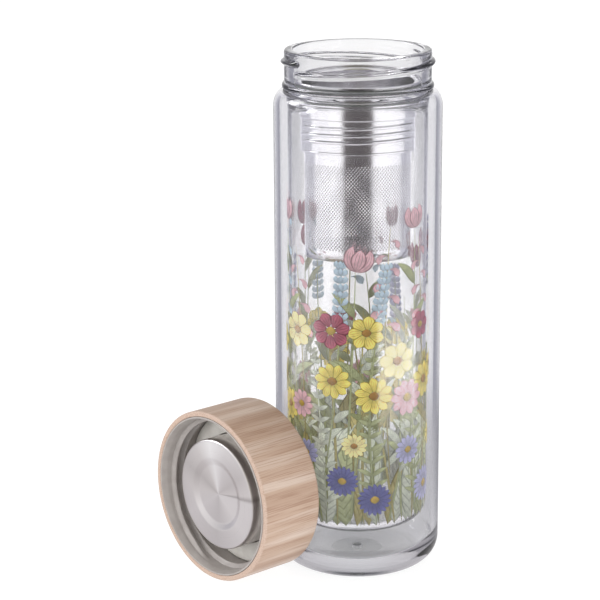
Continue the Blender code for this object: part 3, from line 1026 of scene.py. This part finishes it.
# %% Liner with its thread
WEB_HEIGHT = SHELL_TOP + SEAT_GAP
WEB_TOP = WEB_HEIGHT + 2.0 * MM
CAP_BORE = CAP_LINER_RADIUS - 1.5 * MM
CAP_THREAD_PROUD = 1.7 * MM
CAP_THREAD = dict(
    start=20.0,
    start_height=CAP_LENGTH - 11.5 * MM,
    lead=THREAD_LEAD,
    span=330.0,
    fade=25.0,
    half_width=1.3 * MM,
    starts=THREAD_STARTS,
)
LIP_WIDTH = 0.6 * MM
LEAD_IN = 2.4 * MM
PLUG_LOW, PLUG_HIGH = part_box("cap_plug")
PLUG_RADIUS = (PLUG_HIGH.z - PLUG_LOW.z) / 2
PLUG_FACE = CAP_MIDDLE.x - PLUG_LOW.x
BOSS_RADIUS = PLUG_RADIUS - 0.8 * MM
BOSS_TOP = PLUG_FACE - 1.9 * MM
BOSS_WALL = 1.8 * MM


def liner_section():
    outer = rounded(
        [
            (CAP_LINER_RADIUS - LIP_WIDTH, CAP_LENGTH, 0.2 * MM),
            (CAP_LINER_RADIUS, CAP_LENGTH, 0.2 * MM),
            (CAP_LINER_RADIUS, WEB_HEIGHT),
            (BOSS_RADIUS - BOSS_WALL, WEB_HEIGHT),
            (BOSS_RADIUS - BOSS_WALL, BOSS_TOP - BOSS_WALL),
            (0, BOSS_TOP - BOSS_WALL),
        ],
        4,
    )
    soft = 0.5 * MM
    boss = rounded([(0, BOSS_TOP), (BOSS_RADIUS, BOSS_TOP, soft), (BOSS_RADIUS, WEB_TOP, soft)], 4)[:-1]
    web = rounded([(BOSS_RADIUS, WEB_TOP), (CAP_BORE, WEB_TOP, 0.8 * MM), (CAP_BORE, CAP_LENGTH)], 4)[:-1]
    lead_in = (CAP_BORE, CAP_LENGTH - LEAD_IN)
    bore = subdivided(web[-1], lead_in, 60)
    return boss + web + bore + [lead_in] + outer


def mould_cap_thread(skin):
    """The thread stands inwards from the bore, and its two starts begin near the mouth."""
    for vert in skin.verts:
        radius = math.hypot(vert.co.x, vert.co.y)
        if abs(radius - CAP_BORE) > 0.1 * MM or vert.co.z < WEB_TOP + 1.0 * MM:
            continue
        widen(vert, 1 - CAP_THREAD_PROUD * thread_height(vert.co, **CAP_THREAD) / radius)


liner_skin = spun(liner_section())
mould_cap_thread(liner_skin)
plastic = moulded_polypropylene()
piece("threaded_liner", liner_skin, plastic, "cap", "cap_liner", "grey_polypropylene", CAP_PLACE)

# %% [markdown]
# ## The plug
# The plug is a drawn steel cup, pressed over the liner's boss. Its face is brushed in circles on a
# spindle, which draws the light into rays that cross at the middle. An anisotropic shader whose
# tangent runs round the cap's axis gives that look. The photographed room had more lamps than this
# one, so soft wedges of tone, by the angle round the axis, stand in for the rest of its rays.

# %% Material: steel brushed in circles
# Painted reflections: lighter and darker wedges of tone, and one thin dark line, by the angle round the
# plug's axis.
REFLECTION_WEDGES = [
    (0.0, "#DAD4D3"), (0.1, "#E6E1E1"), (0.25, "#DAD5D5"), (0.4, "#EDE8E8"), (0.514, "#E4DFDF"),
    (0.523, "#B9B3B2"), (0.537, "#E2DCDB"), (0.6, "#D8D2D1"), (0.7, "#E8E3E3"), (0.78, "#FFFCFC"),
    (0.85, "#E0DAD9"), (0.93, "#CCC6C5"), (1.0, "#DAD4D3"),
]


def full_turn(tree, y, x):
    """The angle of a direction, from 0 to 1."""
    angle = add(tree, "Math", {0: y, 1: x}, operation="ARCTAN2")
    return add(tree, "MapRange", {"Value": angle, "From Min": -math.pi, "From Max": math.pi})


def circle_brushed_steel():
    brushed = dict(Metallic=1.0, Anisotropic=0.7)
    made, tree, shader, place = finish("circle_brushed_steel", "#E8E2E1", 0.3, **brushed)
    centred = add(tree, "Mapping", {"Vector": place, "Location": CENTRED})
    flat = add(tree, "VectorMath", {0: centred, 1: (0.0, 1.0, 1.0)}, operation="MULTIPLY")
    radius = add(tree, "VectorMath", {0: flat}, operation="LENGTH").outputs["Value"]
    lathe = add(tree, "TexNoise", {"W": radius, "Scale": 5000.0, "Detail": 3.0}, noise_dimensions="1D")
    carry(tree, shader, lathe, rough=(0.24, 0.38), relief=(0.15, 0.02 * MM))
    around = add(tree, "Tangent", direction_type="RADIAL", axis="X")
    parts = add(tree, "SeparateXYZ", {0: flat})
    away = add(tree, "Math", {0: parts.outputs["Y"], 1: -1.0}, operation="MULTIPLY")
    # the painted reflection wedges tint the face by the angle round the axis
    carry(tree, shader, full_turn(tree, parts.outputs["Z"], away), tint=REFLECTION_WEDGES)
    feed(tree, shader, {"Tangent": around})
    return made


# %% Plug
PLUG_DISH_RADIUS = 12.5 * MM
PLUG_STEP_RADIUS = 15.1 * MM
PLUG_SHEET = 0.4 * MM


def plug_section():
    dish = PLUG_FACE - 1.1 * MM
    return rounded(
        [
            (0, dish),
            (PLUG_DISH_RADIUS, dish, 2.4 * MM),
            (PLUG_STEP_RADIUS, PLUG_FACE, 2.4 * MM),
            (PLUG_RADIUS, PLUG_FACE, 0.9 * MM),
            (PLUG_RADIUS, WEB_TOP + SEAT_GAP),
        ],
        5,
    )


brushed, plug_skin = circle_brushed_steel(), spun(plug_section(), closed=False)
plug = piece("brushed_plug", plug_skin, brushed, "cap", "cap_plug", "brushed_steel", CAP_PLACE)
sheet_metal(plug, PLUG_SHEET)

# %% [markdown]
# ## The gasket
# The gasket lies at the bottom of the channel round the plug and seals on the glass rim.

# %% Gasket
GASKET_HEIGHT = 1.5 * MM


def gasket_section():
    foot = WEB_TOP + SEAT_GAP
    top = foot + GASKET_HEIGHT
    bore = PLUG_RADIUS + SEAT_GAP
    outside = CAP_BORE - SEAT_GAP
    soft = 0.4 * MM
    return rounded([(bore, top, soft), (outside, top, soft), (outside, foot, soft), (bore, foot, soft)], 4)


white_silicone = moulded_silicone("white_moulded_silicone", "#D8D4CD", "#E6E3DD", 0.0)
gasket_skin = spun(gasket_section())
piece("rim_gasket", gasket_skin, white_silicone, "cap_ring", "cap_gasket", "white_silicone", CAP_PLACE)

# %% [markdown]
# ## The studio
# A glass object is lit by what surrounds it. The floor is a plain white light table and the room
# is white. A photographer also stands flags and panels where only mirrors see them. Dark flags
# give the glass its grey lines and the steel its dark middle band, and two bright panels give the
# long white lines down the outer wall. Here they exist only for light that has been mirrored. The
# Light Path node's glossy depth tells that, and its transmission depth tells how many surfaces of
# glass the light has passed: two for the outer wall, four or more for the steel behind both walls.
# The table's soft shade round the foot is seen only through the glass. So the picture's ground
# stays plain from every side.

# %% What the mirrors see
CAMERA_SIDE = Vector((CAMERA_PLACE.x, CAMERA_PLACE.y, 0)).normalized()
CAMERA_RIGHT = Vector((-CAMERA_SIDE.y, CAMERA_SIDE.x, 0))
ROOM_LIGHT = 1.0
WALL_GAIN = 1.12  # every pass through a glass surface costs light, and the lamps make up for it
FLAG_NEAR, FLAG_FAR = 0.16, 0.26  # the flag's foot on the table, from the bottle's axis
# The stops below go from 0, behind the bottle, to 1, on the camera's side.
FLAG_STOPS = [
    (0.0, "#FFFFFF"), (0.04, "#E0E0E6"), (0.09, "#A0A0AA"), (0.36, "#A8A8B2"), (0.43, "#F2F2F3"),
    (0.915, "#F6F6F6"), (0.95, "#565254"), (1.0, "#4C484B"),
]
OPEN_STOPS = FLAG_STOPS[:-2] + [(0.95, "#B8B5A8"), (1.0, "#B0ADA0")]
NEAR_STOPS = [
    (0.0, "#A0A0A8"), (0.1, "#A8A8AE"), (0.35, "#D4D3D6"), (0.5, "#DAD8DA"), (0.8, "#DAD8DA"),
    (1.0, "#DEDEE0"),
]
PANEL_LIGHT = 8.0
PANEL_END = (0.33, 0.42)  # where the panels' light on the table fades out
# These go once round the bottle, from 0 to 1, with 0.5 on the camera's side.
PANEL_STOPS = [
    (0.2, "#000000"), (0.24, "#B0B0B0"), (0.33, "#B0B0B0"), (0.36, "#000000"), (0.57, "#000000"),
    (0.585, "#FFFFFF"), (0.735, "#FFFFFF"), (0.755, "#000000"),
]


def towards(tree, place, side):
    return add(tree, "VectorMath", {0: place, 1: tuple(side)}, operation="DOT_PRODUCT").outputs["Value"]


def flags(tree, direction, stops):
    """The room's brightness by the angle from the camera's side, for mirrored light."""
    level = add(tree, "VectorMath", {0: direction, 1: (1.0, 1.0, 0.0)}, operation="MULTIPLY")
    unit = add(tree, "VectorMath", {0: level}, operation="NORMALIZE")
    facing = towards(tree, unit, CAMERA_SIDE)
    spread = add(tree, "MapRange", {"Value": facing, "From Min": -1.0, "From Max": 1.0})
    return add(tree, "ValToRGB", {"Fac": spread}, stops)


def deeper(tree, count, surfaces):
    """1 for light with more than so many mirrored or passed surfaces behind it, 0 otherwise."""
    depth = add(tree, "LightPath").outputs[count]
    return add(tree, "Math", {0: depth, 1: surfaces + 0.5}, operation="GREATER_THAN")


def mirrored(tree):
    return deeper(tree, "Glossy Depth", 0)


def room_flags(tree, direction):
    """The steel sees the dark front flag, and the neck a paler one."""
    seen = add(tree, "Mix", {"Factor": deeper(tree, "Transmission Depth", 3)}, data_type="RGBA")
    feed(tree, seen, {"A": flags(tree, direction, OPEN_STOPS), "B": flags(tree, direction, FLAG_STOPS)})
    return seen


def lamp_gain(tree):
    """The lamps' strength for mirrored light, by the glass surfaces that it has passed."""
    passed = add(tree, "LightPath").outputs["Transmission Depth"]
    return add(tree, "Math", {0: WALL_GAIN, 1: passed}, operation="POWER")


def panels(tree, place, distance):
    """Two bright panels in front of the bottle, which only the outer wall's surfaces mirror."""
    angle = full_turn(tree, towards(tree, place, CAMERA_RIGHT), towards(tree, place, CAMERA_SIDE))
    bright = add(tree, "ValToRGB", {"Fac": angle}, PANEL_STOPS)
    foot = add(tree, "MapRange", {"Value": distance, "From Min": FLAG_NEAR, "From Max": FLAG_FAR})
    fading = {"From Min": PANEL_END[0], "From Max": PANEL_END[1], "To Min": 1.0, "To Max": 0.0}
    end = add(tree, "MapRange", {"Value": distance} | fading)
    strip = add(tree, "Math", {0: foot, 1: end}, operation="MULTIPLY")
    passed = add(tree, "LightPath").outputs["Transmission Depth"]
    outer = add(tree, "Math", {0: passed, 1: 2.0, 2: 0.5}, operation="COMPARE")
    lit = add(tree, "Math", {0: strip, 1: outer}, operation="MULTIPLY")
    level = add(tree, "Math", {0: lit, 1: PANEL_LIGHT}, operation="MULTIPLY")
    return add(tree, "Math", {0: bright, 1: level}, operation="MULTIPLY")


# %% Floor
FLOOR_RADIUS = 12.0  # its far edge is out of sight beside the bottle
SHADE_END = 0.3  # beyond this distance from the bottle the table is plain white through glass too
TABLE_GLOW = 0.9
# These go from the bottle's axis, at 0, to the shade's end, at 1.
SHADE_STOPS = [
    (0.0, "#606062"), (0.07, "#949496"), (0.1, "#C8C8CA"), (0.15, "#C8C8CA"), (0.23, "#A8A8AC"),
    (0.4, "#A4A4A8"), (0.6, "#C4C4C6"), (0.8, "#E8E8EA"), (1.0, "#FFFFFF"),
]


def light_table():
    made, tree, shader, place = finish("light_table", "#767677", 0.6)
    distance = add(tree, "VectorMath", {0: place}, operation="LENGTH").outputs["Value"]
    reach = add(tree, "MapRange", {"Value": distance, "From Max": SHADE_END})
    glow = add(tree, "Mix", {"Factor": deeper(tree, "Transmission Depth", 0)}, data_type="RGBA")
    feed(tree, glow, {"A": linear("#FFFFFF"), "B": add(tree, "ValToRGB", {"Fac": reach}, SHADE_STOPS)})
    feed(tree, shader, {"Emission Color": glow, "Emission Strength": TABLE_GLOW})
    far = add(tree, "MapRange", {"Value": distance, "From Min": FLAG_NEAR, "From Max": FLAG_FAR})
    shade = add(tree, "Mix", data_type="RGBA")
    feed(tree, shade, {"Factor": far, "A": flags(tree, place, NEAR_STOPS), "B": room_flags(tree, place)})
    seen = add(tree, "Emission", {"Color": shade, "Strength": lamp_gain(tree)})
    sheen = add(tree, "Emission", {"Strength": panels(tree, place, distance)})
    both = add(tree, "AddShader", {0: seen, 1: sheen})
    either = add(tree, "MixShader", {0: mirrored(tree), 1: shader, 2: both})
    feed(tree, tree.nodes["Material Output"], {"Surface": either})
    return made


floor_skin = bmesh.new()
bmesh.ops.create_circle(floor_skin, cap_ends=True, segments=64, radius=FLOOR_RADIUS)
floor_mesh = bpy.data.meshes.new("floor")
floor_skin.to_mesh(floor_mesh)
floor_skin.free()
floor_mesh.materials.append(light_table())
floor = show("floor", floor_mesh)
print("the floor reaches", FLOOR_RADIUS, "m from the bottle")

# %% Room and lights


def white_room():
    world = bpy.data.worlds.new("white_room")
    world.use_nodes = True
    tree = world.node_tree
    tree.nodes.clear()
    direction = add(tree, "TexCoord").outputs["Generated"]
    height = add(tree, "SeparateXYZ", {0: direction}).outputs["Z"]
    plain = add(tree, "ValToRGB", {"Fac": height}, [(0.0, "#FFFFFF"), (0.35, "#EDEDEE"), (0.9, "#A8A8A2")])
    shade = add(tree, "Mix", data_type="RGBA")
    feed(tree, shade, {"Factor": mirrored(tree), "A": plain, "B": room_flags(tree, direction)})
    strength = add(tree, "Mix", {0: mirrored(tree), 2: ROOM_LIGHT, 3: lamp_gain(tree)}, data_type="FLOAT")
    background = add(tree, "Background", {"Color": shade, "Strength": strength})
    add(tree, "OutputWorld", {"Surface": background})
    bpy.context.scene.world = world


white_room()
print("the room's walls take", len(bpy.context.scene.world.node_tree.nodes), "nodes")


def softbox(name, place, target, size, power):
    data = bpy.data.lights.new(name, "AREA")
    data.shape = "RECTANGLE"
    data.size, data.size_y = size
    data.energy = power
    lamp = show(name, data)
    lamp.location = place
    aim = Vector(target) - Vector(place)
    lamp.rotation_euler = aim.to_track_quat("-Z", "Y").to_euler()
    return lamp


softbox("back_softbox", (-0.85, 1.5, 1.15), (0, 0, 0.1), (0.7, 0.9), 14.0)
front = softbox("front_softbox", (-0.4, -1.6, 0.5), (0, 0, 0.05), (1.0, 0.8), 12.0)
mouth = softbox("mouth_softbox", (-1.3, 0.1, 0.35), (-0.06, 0.02, 0.035), (0.6, 0.6), 5.0)
for lamp in (front, mouth):  # their light is wanted, but not their mirror images
    lamp.visible_glossy = False
    lamp.visible_transmission = False

scene = bpy.context.scene
scene.view_settings.view_transform = "Standard"
scene.view_settings.look = "None"
scene.cycles.max_bounces = 24
scene.cycles.transmission_bounces = 24
scene.cycles.transparent_max_bounces = 32
